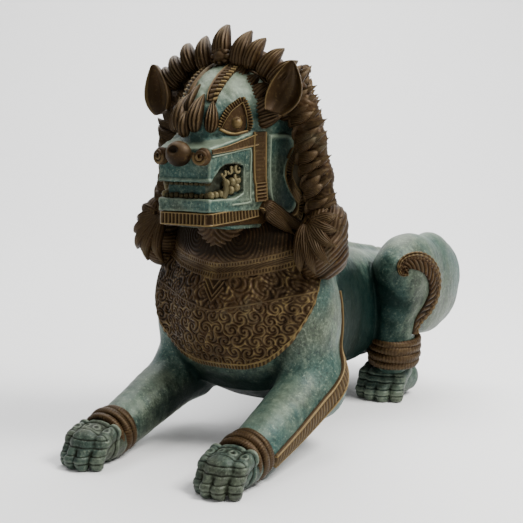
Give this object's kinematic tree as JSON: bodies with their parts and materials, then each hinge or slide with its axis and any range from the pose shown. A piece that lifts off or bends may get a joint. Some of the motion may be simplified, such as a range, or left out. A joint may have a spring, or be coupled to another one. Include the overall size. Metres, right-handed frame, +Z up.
{
  "type": "guardian lion statue",
  "caption": "Reclining temple lion in patinated cast bronze, with a flame mane, an engraved chest bib and scrolled leg ornaments, that stands on its paws as a shelf or floor ornament.",
  "frame": {"origin": "middle of the bounding box, on the surface that the paws stand on", "axes": "+Z up, the lion faces -Y, its own left side is +X"},
  "size_m": [0.2372, 0.56, 0.42],
  "materials": {
    "verdigris_bronze": "mottled blue-green verdigris over bronze, rubbed paler on the high places",
    "brown_patina_bronze": "dark brown patina with golden olive bronze showing on the raised lines",
    "worn_gilt_bronze": "worn golden bronze with green in the hollows"
  },
  "bodies": {
    "root": {"body_shell": "verdigris_bronze", "bridge_tuft": "brown_patina_bronze", "chest_bib": "brown_patina_bronze", "chin_beard": "brown_patina_bronze", "forehead_medallion": "brown_patina_bronze", "left_ankle_cuff": "brown_patina_bronze", "left_brow_band": "brown_patina_bronze", "left_cheek_frame": "brown_patina_bronze", "left_cheek_panel": "verdigris_bronze", "left_ear": "brown_patina_bronze", "left_elbow_fringe": "brown_patina_bronze", "left_eye": "brown_patina_bronze", "left_eye_rim": "brown_patina_bronze", "left_fore_paw": "verdigris_bronze", "left_forearm": "verdigris_bronze", "left_haunch": "verdigris_bronze", "left_haunch_flame": "brown_patina_bronze", "left_hind_paw": "verdigris_bronze", "left_mane_curl": "brown_patina_bronze", "left_mane_side": "brown_patina_bronze", "left_nostril_scroll": "brown_patina_bronze", "left_tusk": "worn_gilt_bronze", "left_upper_arm": "verdigris_bronze", "left_wrist_cuff": "brown_patina_bronze", "lower_jaw": "verdigris_bronze", "lower_teeth": "worn_gilt_bronze", "mane_back": "brown_patina_bronze", "mane_crown": "brown_patina_bronze", "muzzle": "verdigris_bronze", "neck": "brown_patina_bronze", "nose_boss": "brown_patina_bronze", "right_ankle_cuff": "brown_patina_bronze", "right_brow_band": "brown_patina_bronze", "right_cheek_frame": "brown_patina_bronze", "right_cheek_panel": "verdigris_bronze", "right_ear": "brown_patina_bronze", "right_elbow_fringe": "brown_patina_bronze", "right_eye": "brown_patina_bronze", "right_eye_rim": "brown_patina_bronze", "right_fore_paw": "verdigris_bronze", "right_forearm": "verdigris_bronze", "right_haunch": "verdigris_bronze", "right_haunch_flame": "brown_patina_bronze", "right_hind_paw": "verdigris_bronze", "right_mane_curl": "brown_patina_bronze", "right_mane_side": "brown_patina_bronze", "right_nostril_scroll": "brown_patina_bronze", "right_tusk": "worn_gilt_bronze", "right_upper_arm": "verdigris_bronze", "right_wrist_cuff": "brown_patina_bronze", "skull": "verdigris_bronze", "spine_ridge": "verdigris_bronze", "tail": "verdigris_bronze", "tail_tuft": "brown_patina_bronze", "upper_teeth": "worn_gilt_bronze"}
  },
  "joints": []
}
